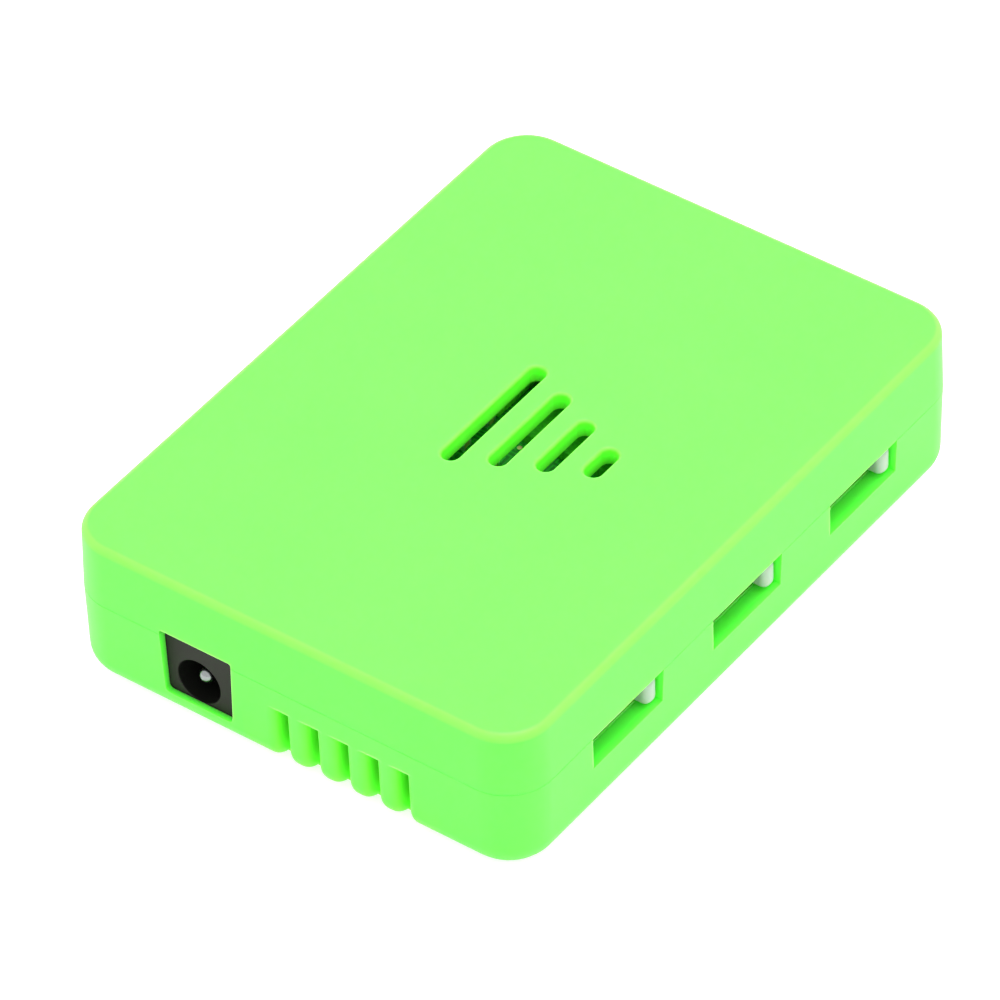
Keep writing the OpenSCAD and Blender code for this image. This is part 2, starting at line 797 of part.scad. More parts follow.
// Square front, round barrel behind it, and a block that carries both on the board.
module jack_housing() {
    color(chip_black) difference() {
        union() {
            translate([jack_x - jack_w / 2, jack_y, board_z - jack_h])
                cube([jack_w, jack_front, jack_h]);
            translate([jack_x, jack_y, jack_z]) rotate([-90, 0, 0])
                cylinder(d = jack_barrel_d, h = jack_len);
            translate([jack_x - jack_barrel_d / 2, jack_y, jack_z])
                cube([jack_barrel_d, jack_len, board_z - jack_z]);
        }
        translate([jack_x, jack_y, jack_z]) rotate([-90, 0, 0]) {
            translate([0, 0, -over]) cylinder(d = jack_bore, h = jack_bore_depth + over);
            translate([0, 0, -fit]) cylinder(d1 = jack_bore + 2 * (jack_bore_break + fit),
                d2 = jack_bore, h = jack_bore_break + fit);
            cylinder(d = jack_pin_d + 2 * fit, h = jack_len + over);
        }
        translate([jack_x - blade_w / 2 - fit, top_blade_y - blade_t / 2 - fit, jack_z])
            cube([blade_w + 2 * fit, blade_t + 2 * fit, jack_drop + over]);
    }
}

// Centre pin with its rivet and the blade that goes up through the board.
module jack_pin() {
    pin_start = jack_y + jack_pin_back;
    color(tin) {
        translate([jack_x, pin_start, jack_z]) rotate([-90, 0, 0]) {
            translate([0, 0, jack_pin_d / 2])
                cylinder(d = jack_pin_d, h = jack_rear_y + fit - pin_start - jack_pin_d / 2);
            intersection() {
                translate([0, 0, jack_pin_d / 2]) sphere(d = jack_pin_d);
                cylinder(d = jack_pin_d, h = jack_pin_d / 2);
            }
        }
        translate([jack_x - blade_w / 2, jack_rear_y + fit, jack_z - blade_w / 2])
            cube([blade_w, blade_t, board_top + blade_tail - jack_z + blade_w / 2]);
    }
}

// Sleeve contacts: one blade drops through the body to the bore, one stands at its side.
module jack_contacts() {
    color(tin) {
        translate([jack_x - blade_w / 2, top_blade_y - blade_t / 2,
                jack_z + jack_bore / 2 - blade_bite])
            cube([blade_w, blade_t, board_top + blade_tail - jack_z - jack_bore / 2 + blade_bite]);
        translate([jack_x - jack_w / 2 - blade_t - fit, side_blade_y - blade_w / 2,
                board_z - side_blade_drop])
            cube([blade_t, blade_w, side_blade_drop + board_t + blade_tail]);
    }
}

// ---------- slide switches ----------

// Places children at one switch: x = 0 on its front plate, z = 0 on the lever's middle.
module at_switch(i) {
    translate([switch_x, switch_y[i], lever_z]) children();
}

// Folded metal frame, open at the back, with a leg at each end.
module switch_frame() {
    difference() {
        translate([-switch_depth, -frame_l / 2, -switch_h / 2])
            cube([switch_depth, frame_l, switch_h]);
        translate([-switch_depth - over, -frame_in_l / 2, -frame_in_h / 2])
            cube([switch_depth + over - frame_t, frame_in_l, frame_in_h]);
        translate([-over, -frame_slot_w / 2, -frame_slot_h / 2])
            cube([2 * over, frame_slot_w, frame_slot_h]);
    }
    for (s = [-1, 1])
        translate([leg_x - leg_w / 2, s * leg_y - frame_t / 2, switch_h / 2 - frame_t])
            cube([leg_w, frame_t, frame_t + board_t + blade_tail]);
}

// Insulating plate that closes the frame and carries the contacts.
module switch_base() {
    difference() {
        translate([-switch_depth, -frame_in_l / 2 + fit, -frame_in_h / 2 + fit])
            cube([switch_base_t, frame_in_l - 2 * fit, frame_in_h - 2 * fit]);
        for (y = throw_y) translate([0, y, 1]) pin_way();
        translate([0, common_y, -1]) pin_way();
    }
}

module pin_way() {
    translate([-switch_depth - over, -pin_w / 2 - fit, -pin_t / 2 - fit])
        cube([switch_depth, pin_w + 2 * fit, pin_t + 2 * fit]);
}

// Three throws above and one common rail below, each with a pin bent up to the board.
module switch_contacts() {
    for (y = throw_y) translate([0, y, 1]) {
        bent_pin(1);
        translate([base_x, -1.2, -0.6]) cube([pad_t, 2.4, 1.2]);
    }
    translate([0, common_y, -1]) bent_pin(-1);
    translate([base_x, -lever_travel / 2 - 1.2, -1.6]) cube([pad_t, lever_travel + 2.4, 1.2]);
}

// Pin from the base's front, out of its back and up through the board; it lies at height z.
module bent_pin(z) {
    translate([pin_back, -pin_w / 2, -pin_t / 2])
        cube([base_x - pin_back, pin_w, pin_t]);
    translate([pin_back, -pin_w / 2, -pin_t / 2])
        cube([pin_t, pin_w, board_top + blade_tail - lever_z - z + pin_t / 2]);
}

// Lever: a rounded knob outside the frame and the carriage that runs inside it, parked
// at the +Y end of its travel.
module switch_lever() {
    translate([0, lever_travel / 2, 0]) {
        translate([-lever_root, 0, 0]) rotate([90, 0, 90])
            leaning_block(lever_w, lever_h, lever_corner_r, lever_out + lever_root, lever_edge_r, 0);
        translate([carriage_back, -carriage_l / 2, -carriage_h / 2])
            cube([-frame_t - slide_gap - carriage_back, carriage_l, carriage_h]);
    }
}

// Brass wiper behind the carriage: it joins the rail to one throw.
module switch_wiper() {
    translate([carriage_back - wiper_t, lever_travel / 2 - 0.9, -1.7]) cube([wiper_t, 1.8, 3.4]);
}

module switch_frame_front() { color(tin) at_switch(0) switch_frame(); }
module switch_frame_middle() { color(tin) at_switch(1) switch_frame(); }
module switch_frame_rear() { color(tin) at_switch(2) switch_frame(); }
module switch_base_front() { color(chip_black) at_switch(0) switch_base(); }
module switch_base_middle() { color(chip_black) at_switch(1) switch_base(); }
module switch_base_rear() { color(chip_black) at_switch(2) switch_base(); }
module switch_contacts_front() { color(brass) at_switch(0) switch_contacts(); }
module switch_contacts_middle() { color(brass) at_switch(1) switch_contacts(); }
module switch_contacts_rear() { color(brass) at_switch(2) switch_contacts(); }
module switch_lever_front() { color(white) at_switch(0) switch_lever(); }
module switch_lever_middle() { color(white) at_switch(1) switch_lever(); }
module switch_lever_rear() { color(white) at_switch(2) switch_lever(); }
module switch_wiper_front() { color(brass) at_switch(0) switch_wiper(); }
module switch_wiper_middle() { color(brass) at_switch(1) switch_wiper(); }
module switch_wiper_rear() { color(brass) at_switch(2) switch_wiper(); }

// ---------- nodes ----------

bottom_tray();
top_cover();
case_screws();
circuit_board();
processor();
memory_chip();
storage_chip();
storage_leads();
wireless_board();
wireless_shield();
clock_crystal();
power_regulator();
regulator_leads();
power_inductors();
power_diode();
bulk_capacitors();
capacitor_bases();
small_capacitors();
serial_header();
header_pins();
jack_housing();
jack_pin();
jack_contacts();
switch_frame_front();
switch_frame_middle();
switch_frame_rear();
switch_base_front();
switch_base_middle();
switch_base_rear();
switch_contacts_front();
switch_contacts_middle();
switch_contacts_rear();
switch_lever_front();
switch_lever_middle();
switch_lever_rear();
switch_wiper_front();
switch_wiper_middle();
switch_wiper_rear();
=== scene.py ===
"""Finishes and fine details of a small single board computer in a two-part moulded case."""

import math

import bmesh
import bpy
from bpy.props import FloatProperty, FloatVectorProperty, IntProperty, PointerProperty
from bpy.types import Operator, Panel, PropertyGroup
from mathutils import Euler, Matrix, Vector


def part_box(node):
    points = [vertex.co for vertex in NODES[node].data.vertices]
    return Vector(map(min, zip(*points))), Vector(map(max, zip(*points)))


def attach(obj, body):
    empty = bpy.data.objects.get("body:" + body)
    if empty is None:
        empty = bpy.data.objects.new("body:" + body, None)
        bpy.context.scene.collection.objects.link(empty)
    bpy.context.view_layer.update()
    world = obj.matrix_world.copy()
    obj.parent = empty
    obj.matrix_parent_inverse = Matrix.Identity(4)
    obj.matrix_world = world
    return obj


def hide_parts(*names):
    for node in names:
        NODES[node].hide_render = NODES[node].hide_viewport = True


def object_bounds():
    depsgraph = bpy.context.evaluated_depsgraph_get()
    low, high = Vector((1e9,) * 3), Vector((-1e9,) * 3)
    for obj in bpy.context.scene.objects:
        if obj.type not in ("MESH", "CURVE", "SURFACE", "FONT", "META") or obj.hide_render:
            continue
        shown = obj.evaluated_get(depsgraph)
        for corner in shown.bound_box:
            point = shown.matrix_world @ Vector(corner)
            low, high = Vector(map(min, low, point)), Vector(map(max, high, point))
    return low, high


bl_info = {
    "name": "Boxed Computer Finishes",
    "version": (1, 0, 0),
    "blender": (4, 5, 0),
    "location": "View3D > Sidebar > Boxed Computer",
    "description": "Models the finishes and fine details of a small computer in a plastic case",
    "category": "Object",
}

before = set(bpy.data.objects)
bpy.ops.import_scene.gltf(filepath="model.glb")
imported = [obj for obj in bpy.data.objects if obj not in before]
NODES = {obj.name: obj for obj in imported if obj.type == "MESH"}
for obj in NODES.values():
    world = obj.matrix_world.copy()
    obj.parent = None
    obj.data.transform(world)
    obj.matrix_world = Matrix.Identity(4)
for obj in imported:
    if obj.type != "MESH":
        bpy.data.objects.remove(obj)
CAD_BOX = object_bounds()
MM = 0.001
SWITCHES = ("front", "middle", "rear")

# The case and its socket, as they are built in the frame
DRAFT = math.radians(1.3)  # lean of the walls, away from the parting line
FRONT = -41.1 * MM  # y of the front wall's face at the parting line
TRAY_HEIGHT = 11.2 * MM  # height of the parting line
TOP_EDGE = 1.0 * MM  # rounding round the roof
FOOT_ROUND = 2.9 * MM  # rounding round the foot
SILL_HEIGHT = 6.8 * MM  # height of the windows' sills
PIN_HEIGHT = 5.7 * MM  # height of the socket's axis
BORE = 5.6 * MM  # width of the socket's bore

# Boxes round the roof slots and round the vents, behind the outer faces, where the case is tinted
# with painted bounce light
SLOT_ZONE = ((-6.4 * MM, -11 * MM, 12 * MM), (14.6 * MM, 11 * MM, 19.38 * MM))
VENT_ZONE = ((-6.5 * MM, -41.0 * MM, -1 * MM), (19.5 * MM, -36 * MM, 9.5 * MM))

# Places of the test pads on the board
TEST_PADS = ((-1.1 * MM, 1.94 * MM), (0.9 * MM, 1.94 * MM), (-5.2 * MM, -3.4 * MM))

# The vents' new bars reach this far into the tray, and lie this far under its front face
BAR_OVERLAP = 0.01 * MM
BAR_SINK = 0.003 * MM

JOIN = 0.0005 * MM  # corners closer than this are one
FLAT_ANGLE = math.radians(0.3)  # faces that turn less than this are one flat
SHARP_ANGLE = math.radians(28)  # edges sharper than this are kept and softened
CONE_ANGLE = math.radians(50)  # the same for small cast and plated forms


def front_at(height):
    """The y of the tray's front face at a height."""
    return FRONT + (TRAY_HEIGHT - height) * math.tan(DRAFT)


# ---------- meshes ----------

def finished_piece(bm, name, body, material, stands_for=()):
    """Makes a piece from bm, with a material, on a body, standing for CAD nodes."""
    mesh = bpy.data.meshes.new(name)
    bm.to_mesh(mesh)
    bm.free()
    piece = bpy.data.objects.new(name, mesh)
    bpy.context.scene.collection.objects.link(piece)
    mesh.materials.append(material)
    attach(piece, body)
    if stands_for:
        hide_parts(*stands_for)
    return piece


def joined_copy(node):
    """A bmesh of a CAD node's triangles, joined where they meet and cleared of flat edges."""
    bm = bmesh.new()
    bm.from_mesh(NODES[node].data)
    bmesh.ops.remove_doubles(bm, verts=bm.verts, dist=JOIN)
    bmesh.ops.dissolve_limit(bm, angle_limit=FLAT_ANGLE, verts=bm.verts, edges=bm.edges)
    return bm


def smooth_by_angle(bm, limit=SHARP_ANGLE):
    """Shades bm smooth, apart from the edges that are sharper than limit."""
    for face in bm.faces:
        face.smooth = True
    for edge in bm.edges:
        edge.smooth = edge.is_manifold and edge.calc_face_angle(0) < limit


def combined(bm, tool, operation):
    """Joins tool to bm (UNION) or cuts it out (DIFFERENCE). Both are used up."""
    stand_ins = []
    for part in (bm, tool):
        mesh = bpy.data.meshes.new("stand-in")
        part.to_mesh(mesh)
        part.free()
        stand_ins.append(bpy.data.objects.new("stand-in", mesh))
        bpy.context.scene.collection.objects.link(stand_ins[-1])
    boolean = stand_ins[0].modifiers.new("boolean", "BOOLEAN")
    boolean.operation = operation
    boolean.solver = "EXACT"
    boolean.object = stand_ins[1]
    result = bmesh.new()
    result.from_object(stand_ins[0], bpy.context.evaluated_depsgraph_get())
    for stand_in in stand_ins:
        mesh = stand_in.data
        bpy.data.objects.remove(stand_in)
        bpy.data.meshes.remove(mesh)
    return result


def add_block(bm, low, high):
    """Adds a box between two corners and returns its vertices."""
    verts = bmesh.ops.create_cube(bm, size=1)["verts"]
    low, high = Vector(low), Vector(high)
    bmesh.ops.scale(bm, vec=high - low, verts=verts)
    bmesh.ops.translate(bm, vec=(low + high) / 2, verts=verts)
    return verts


def corners(points):
    """The lowest and the highest corner of a box round some points."""
    return (Vector(min(p[i] for p in points) for i in range(3)),
            Vector(max(p[i] for p in points) for i in range(3)))


def solids_of(node, above=-1.0):
    """The corners of each of a node's solids, or of as much of it as is above a height."""
    bm = joined_copy(node)
    unseen = set(bm.verts)
    boxes = []
    while unseen:
        found = [unseen.pop()]
        for vert in found:
            for other in {edge.other_vert(vert) for edge in vert.link_edges} & unseen:
                unseen.remove(other)
                found.append(other)
        points = [v.co.copy() for v in found if v.co.z > above]
        if points:
            boxes.append(corners(points))
    bm.free()
    return sorted(boxes, key=lambda box: tuple(box[0]))


def soften_edges(piece, width):
    """Rounds a piece's sharp edges by width, and keeps its flats flat in shading."""
    bevel = piece.modifiers.new("soft edges", "BEVEL")
    bevel.width = width
    bevel.segments = 2
    bevel.limit_method = "ANGLE"
    bevel.angle_limit = SHARP_ANGLE
    bevel.miter_outer = "MITER_ARC"
    keep_flats(piece)


def keep_flats(piece):
    """Lets the large faces rule the shading, so that a rounding doesn't bleed into them."""
    weighted = piece.modifiers.new("flat faces", "WEIGHTED_NORMAL")
    weighted.keep_sharp = True
    weighted.weight = 100


def refine(node, name, material, body="case", edge=0.04 * MM):
    """Stands a smooth copy of a CAD node in its place, with its sharp edges softened."""
    bm = joined_copy(node)
    smooth_by_angle(bm)
    piece = finished_piece(bm, name, body, material, [node])
    soften_edges(piece, edge)


# ---------- materials ----------

class Finish:
    """A new material, with short ways to add the nodes that its pattern needs."""

    def __init__(self, name, colour, roughness, metallic=0.0):
        self.material = bpy.data.materials.new(name)
        self.material.use_nodes = True
        self.material.diffuse_color = (*colour, 1)
        self.nodes = self.material.node_tree.nodes
        self.links = self.material.node_tree.links
        self.shader = self.nodes["Principled BSDF"]
        self.shader.inputs["Base Color"].default_value = (*colour, 1)
        self.shader.inputs["Roughness"].default_value = roughness
        self.shader.inputs["Metallic"].default_value = metallic
        self.place = self.nodes.new("ShaderNodeTexCoord").outputs["Object"]

    def set(self, **values):
        """Sets sockets of the shader, such as Coat_Weight=0.2."""
        for name, value in values.items():
            self.shader.inputs[name.replace("_", " ")].default_value = value
        return self

    def noise(self, size, detail=2.0, stretch=(1, 1, 1)):
        """Noise with grains of about size metres."""
        mapping = self.nodes.new("ShaderNodeMapping")
        mapping.inputs["Scale"].default_value = [s / size for s in stretch]
        texture = self.nodes.new("ShaderNodeTexNoise")
        texture.inputs["Scale"].default_value = 1.0
        texture.inputs["Detail"].default_value = detail
        self.links.new(self.place, mapping.inputs["Vector"])
        self.links.new(mapping.outputs["Vector"], texture.inputs["Vector"])
        return texture.outputs["Fac"]

    def ramp(self, value, stops):
        """Colours a value by (position, colour) stops."""
        node = self.nodes.new("ShaderNodeValToRGB")
        elements = node.color_ramp.elements
        while len(elements) < len(stops):
            elements.new(1.0)
        for element, (position, colour) in zip(elements, stops):
            element.position = position
            element.color = (*colour, 1)
        self.links.new(value, node.inputs["Fac"])
        return node.outputs["Color"]

    def spread(self, value, low, high):
        """Maps a value from 0..1 to low..high."""
        node = self.nodes.new("ShaderNodeMapRange")
        node.inputs["To Min"].default_value = low
        node.inputs["To Max"].default_value = high
        self.links.new(value, node.inputs["Value"])
        return node.outputs["Result"]

    def math(self, operation, a, b):
        """A Math node on two values, each a socket or a number."""
        node = self.nodes.new("ShaderNodeMath")
        node.operation = operation
        for socket, value in zip(node.inputs, (a, b)):
            if isinstance(value, (int, float)):
                socket.default_value = value
            else:
                self.links.new(value, socket)
        return node.outputs["Value"]

    def blend(self, share, a, b):
        """A colour from a (share 0) to b (share 1), each a socket or a colour."""
        node = self.nodes.new("ShaderNodeMix")
        node.data_type = "RGBA"
        colours = [socket for socket in node.inputs if socket.type == "RGBA"]
        for socket, value in zip(colours, (a, b)):
            if isinstance(value, tuple):
                socket.default_value = (*value, 1)
            else:
                self.links.new(value, socket)
        self.links.new(share, node.inputs["Factor"])
        return next(socket for socket in node.outputs if socket.type == "RGBA")

    def bump(self, height, depth, strength):
        """Adds height to the surface, depth metres at most, on top of what it already has."""
        node = self.nodes.new("ShaderNodeBump")
        node.inputs["Strength"].default_value = strength
        node.inputs["Distance"].default_value = depth
        self.links.new(height, node.inputs["Height"])
        previous = self.shader.inputs["Normal"].links
        if previous:
            self.links.new(previous[0].from_socket, node.inputs["Normal"])
        self.links.new(node.outputs["Normal"], self.shader.inputs["Normal"])
        return self

    def inside(self, low, high, fade):
        """1 well inside a box and 0 outside it, over a fade that is a share of its half size."""
        low, high = Vector(low), Vector(high)
        half = (high - low) / 2
        mapping = self.nodes.new("ShaderNodeMapping")
        mapping.inputs["Scale"].default_value = [1 / h for h in half]
        mapping.inputs["Location"].default_value = [-(a + h) / h for a, h in zip(low, half)]
        self.links.new(self.place, mapping.inputs["Vector"])
        size = self.nodes.new("ShaderNodeVectorMath")
        size.operation = "ABSOLUTE"
        self.links.new(mapping.outputs["Vector"], size.inputs[0])
        parts = self.nodes.new("ShaderNodeSeparateXYZ")
        self.links.new(size.outputs["Vector"], parts.inputs[0])
        farthest = self.math("MAXIMUM", parts.outputs["X"], parts.outputs["Y"])
        farthest = self.math("MAXIMUM", farthest, parts.outputs["Z"])
        node = self.nodes.new("ShaderNodeMapRange")
        node.inputs["From Min"].default_value = 1
        node.inputs["From Max"].default_value = 1 - fade
        self.links.new(farthest, node.inputs["Value"])
        return node.outputs["Result"]

    def colour_from(self, socket):
        self.links.new(socket, self.shader.inputs["Base Color"])
        return self

    def roughness_from(self, socket):
        self.links.new(socket, self.shader.inputs["Roughness"])
        return self


def tinted(colour, factor):
    """A colour made lighter or darker."""
    return tuple(min(1.0, c * factor) for c in colour)


def case_plastic(look):
    """Satin moulded plastic that lets light in, with a fine grain, a painted highlight on the top
    edges and painted bounce light in the slots and vents.
    """
    colour = tuple(look.colour)
    finish = Finish("case plastic", colour, look.roughness)
    finish.set(Subsurface_Weight=0.8, Subsurface_Scale=look.glow_depth,
               Subsurface_Radius=(1.0, 1.0, 0.4), Specular_IOR_Level=0.2)
    tone = finish.noise(14 * MM, 1)
    ground = finish.ramp(tone, [(0.3, tinted(colour, 0.985)), (0.7, tinted(colour, 1.012))])
    height = finish.nodes.new("ShaderNodeSeparateXYZ")
    finish.links.new(finish.place, height.inputs[0])
    # Painted highlight: a lighter band along the rounding of the roof's top edges, from 0.35 to
    # 0.9 of the way up it.
    near_roof = finish.nodes.new("ShaderNodeMapRange")
    near_roof.inputs["From Min"].default_value = CAD_BOX[1][2] - TOP_EDGE
    near_roof.inputs["From Max"].default_value = CAD_BOX[1][2]
    finish.links.new(height.outputs["Z"], near_roof.inputs["Value"])
    black, white = (0, 0, 0), (1, 1, 1)
    painted_highlight = finish.ramp(near_roof.outputs["Result"],
                         [(0.0, black), (0.35, white), (0.9, white), (0.99, black)])
    outside = finish.blend(painted_highlight, ground, tuple(look.painted_highlight_colour))
    # Painted bounce light: the thin walls in the slots and vents take a yellower green, in place
    # of light that bounces and glows through the plastic there.
    painted_bounce = finish.math("MAXIMUM", finish.inside(*SLOT_ZONE, 0.1),
                         finish.inside(*VENT_ZONE, 0.25))
    finish.colour_from(finish.blend(painted_bounce, outside, tuple(look.painted_bounce_colour)))
    grain = finish.noise(look.grain, 3)
    finish.roughness_from(finish.spread(grain, look.roughness - 0.05, look.roughness + 0.07))
    finish.bump(grain, 0.004 * MM, 0.35)
    finish.bump(finish.noise(9 * MM, 0), 0.012 * MM, 0.5)
    return finish.material


def lever_plastic(look):
    """White moulded plastic of the levers."""
    colour = tuple(look.lever_colour)
    finish = Finish("lever plastic", colour, 0.35)
    finish.set(Subsurface_Weight=0.2, Subsurface_Scale=0.4 * MM)
    grain = finish.noise(0.12 * MM, 2)
    finish.roughness_from(finish.spread(grain, 0.3, 0.42))
    finish.bump(grain, 0.003 * MM, 0.4)
    return finish.material


def socket_plastic(look):
    """Matt black glass-filled plastic, greyed by its fine grain, with painted shade darkening its
    bore.
    """
    colour = tuple(look.colour)
    finish = Finish("socket plastic", colour, 0.55).set(Specular_IOR_Level=0.12)
    grain = finish.noise(0.09 * MM, 3)
    face = finish.ramp(grain, [(0.3, tinted(colour, 0.8)), (0.75, tinted(colour, 1.25))])
    low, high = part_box("jack_pin")
    axis = finish.nodes.new("ShaderNodeMapping")
    axis.inputs["Location"].default_value = [-(low.x + high.x) / 2, 0, -PIN_HEIGHT]
    axis.inputs["Scale"].default_value = (1, 0, 1)
    finish.links.new(finish.place, axis.inputs["Vector"])
    length = finish.nodes.new("ShaderNodeVectorMath")
    length.operation = "LENGTH"
    finish.links.new(axis.outputs["Vector"], length.inputs[0])
    # Painted shade: inside the bore the body's colour is darkened to a quarter.
    outside = finish.math("GREATER_THAN", length.outputs["Value"], BORE / 2 + 0.02 * MM)
    finish.colour_from(finish.blend(outside, tinted(colour, 0.25), face))
    finish.roughness_from(finish.spread(grain, 0.45, 0.7))
    finish.bump(grain, 0.006 * MM, 0.5)
    return finish.material


def black_plastic():
    """Smooth black plastic of bases and headers."""
    finish = Finish("black plastic", (0.012, 0.012, 0.013), 0.4)
    finish.bump(finish.noise(0.15 * MM, 2), 0.004 * MM, 0.4)
    return finish.material


def chip_resin():
    """Moulding resin of chips: near black, with a dusting of pale filler."""
    finish = Finish("chip resin", (0.022, 0.045, 0.015), 0.6).set(Specular_IOR_Level=0.3)
    speckle = finish.noise(0.05 * MM, 4)
    finish.colour_from(finish.ramp(speckle, [(0.4, (0.02, 0.048, 0.012)),
                                             (0.8, (0.05, 0.09, 0.035))]))
    finish.roughness_from(finish.spread(speckle, 0.5, 0.75))
    finish.bump(speckle, 0.005 * MM, 0.6)
    return finish.material


def package_laminate(name, colour):
    """Green laminate top of a package, with the faint weave of its glass cloth."""
    finish = Finish(name, colour, 0.5).set(Specular_IOR_Level=0.25)
    weave = finish.noise(0.35 * MM, 2, (1, 1, 0.3))
    finish.colour_from(finish.ramp(weave, [(0.3, tinted(colour, 0.8)),
                                           (0.7, tinted(colour, 1.2))]))
    finish.bump(weave, 0.006 * MM, 0.5)
    return finish.material


def metal(name, colour, roughness, grain, stretch=(1, 1, 1)):
    """Metal with a drawn or plated grain."""
    finish = Finish(name, colour, roughness, 1.0)
    streaks = finish.noise(grain, 3, stretch)
    finish.roughness_from(finish.spread(streaks, roughness - 0.08, roughness + 0.12))
    finish.colour_from(finish.ramp(streaks, [(0.2, tinted(colour, 0.88)),
                                             (0.8, tinted(colour, 1.04))]))
    finish.bump(streaks, 0.002 * MM, 0.4)
    return finish.material


def ceramic():
    """Fired body of the small capacitors."""
    finish = Finish("ceramic", (0.36, 0.36, 0.09), 0.45)
    finish.colour_from(finish.ramp(finish.noise(0.3 * MM, 2),
                                   [(0.3, (0.3, 0.3, 0.07)), (0.7, (0.42, 0.42, 0.11))]))
    return finish.material


def ferrite():
    """Grey pressed ferrite."""
    finish = Finish("ferrite", (0.06, 0.06, 0.065), 0.6)
    grain = finish.noise(0.2 * MM, 4)
    finish.colour_from(finish.ramp(grain, [(0.3, (0.04, 0.04, 0.045)), (0.8, (0.1, 0.1, 0.105))]))
    finish.bump(grain, 0.01 * MM, 0.5)
    return finish.material


def board_laminate(look):
    """Solder mask over copper: lighter tracks, a darker ground and a fine woven relief."""
    mask = tuple(look.mask_colour)
    finish = Finish("board laminate", mask, 0.34)
    finish.set(Coat_Weight=0.08, Coat_Roughness=0.2, Specular_IOR_Level=0.15)
    mapping = finish.nodes.new("ShaderNodeMapping")
    mapping.inputs["Scale"].default_value = [1 / (2.2 * MM)] * 3
    mapping.inputs["Rotation"].default_value = (0, 0, math.radians(45))
    finish.links.new(finish.place, mapping.inputs["Vector"])
    cells = finish.nodes.new("ShaderNodeTexVoronoi")
    cells.distance = "MANHATTAN"
    cells.feature = "F1"
    cells.inputs["Scale"].default_value = 1.0
    finish.links.new(mapping.outputs["Vector"], cells.inputs["Vector"])
    track = finish.math("PINGPONG", cells.outputs["Distance"], 0.18)
    copper = finish.math("GREATER_THAN", track, 0.11)
    colour = finish.blend(copper, tinted(mask, 0.75), tinted(mask, 1.35))
    finish.colour_from(colour)
    finish.bump(copper, 0.03 * MM, 0.6)
    finish.bump(finish.noise(0.5 * MM, 1), 0.01 * MM, 0.4)
    return finish.material


# ---------- sizes and colours that a user would change ----------

class CaseLook(PropertyGroup):
    """Finish of the two shells"""

    colour: FloatVectorProperty(
        name="Colour", description="Colour of the moulded shells", subtype="COLOR",
        size=3, min=0, max=1, default=(0.115, 0.95, 0.066))
    painted_highlight_colour: FloatVectorProperty(
        name="Painted highlight colour", description="Colour of the highlight painted along the rounded top edges",
        subtype="COLOR", size=3, min=0, max=1, default=(0.17, 0.96, 0.075))
    painted_bounce_colour: FloatVectorProperty(
        name="Painted bounce colour", description="Colour of the bounce light painted on the thin walls in the slots and the vents",
        subtype="COLOR", size=3, min=0, max=1, default=(0.16, 0.92, 0.046))
    roughness: FloatProperty(
        name="Roughness", description="Roughness of the moulded surface", subtype="FACTOR",
        min=0.1, max=0.9, default=0.42)
    glow_depth: FloatProperty(
        name="Glow depth", description="How far light spreads inside the plastic",
        unit="LENGTH", min=0, max=0.005, default=0.0018)
    grain: FloatProperty(
        name="Grain", description="Size of the grains of the moulded texture",
        unit="LENGTH", min=0.00002, max=0.001, default=0.00011)
    edge: FloatProperty(
        name="Edge", description="Rounding of the shells' sharp edges",
        unit="LENGTH", min=0.00001, max=0.0003, default=0.00001)


class VentLook(PropertyGroup):
    """Comb of vents in the front wall, between round-fronted bars"""

    count: IntProperty(name="Count", description="Number of vents", min=1, max=5, default=5)
    pitch: FloatProperty(
        name="Pitch", description="Spacing of the vents", unit="LENGTH",
        min=0.0036, max=0.0042, default=0.00393)
    middle: FloatProperty(
        name="Middle", description="Middle of the row of vents, across the case",
        unit="LENGTH", min=0.004, max=0.009, default=0.0065)
    slit: FloatProperty(
        name="Slit", description="Width of the slit between two bars", unit="LENGTH",
        min=0.0008, max=0.002, default=0.00125)
    rounding: FloatProperty(
        name="Rounding", description="Rounding of the bars' front corners", unit="LENGTH",
        min=0.0002, max=0.0013, default=0.0011)
    top: FloatProperty(
        name="Top", description="Height of the vents' upper ends", unit="LENGTH",
        min=0.006, max=0.009, default=0.0084)
    depth: FloatProperty(
        name="Depth", description="Depth of the bars behind the front face", unit="LENGTH",
        min=0.0025, max=0.0028, default=0.0025)


class SocketLook(PropertyGroup):
    """Finish of the power socket"""

    colour: FloatVectorProperty(
        name="Colour", description="Colour of the socket's body", subtype="COLOR",
        size=3, min=0, max=1, default=(0.019, 0.019, 0.015))
    edge: FloatProperty(
        name="Edge", description="Rounding of the socket's edges",
        unit="LENGTH", min=0.00001, max=0.0003, default=0.00008)


class SwitchLook(PropertyGroup):
    """Finish of the slide switches"""

    lever_colour: FloatVectorProperty(
        name="Lever colour", description="Colour of the levers", subtype="COLOR",
        size=3, min=0, max=1, default=(0.305, 0.405, 0.3))
    lever_rounding: FloatProperty(
        name="Lever rounding", description="Rounding of the levers' knobs",
        unit="LENGTH", min=0.0001, max=0.001, default=0.0009)
    lever_edge: FloatProperty(
        name="Lever edge", description="Rounding of the levers' other edges",
        unit="LENGTH", min=0.00001, max=0.0004, default=0.00012)


class BoardLook(PropertyGroup):
    """Finish of the circuit board"""

    mask_colour: FloatVectorProperty(
        name="Mask colour", description="Colour of the solder mask", subtype="COLOR",
        size=3, min=0, max=1, default=(0.014, 0.3, 0.022))


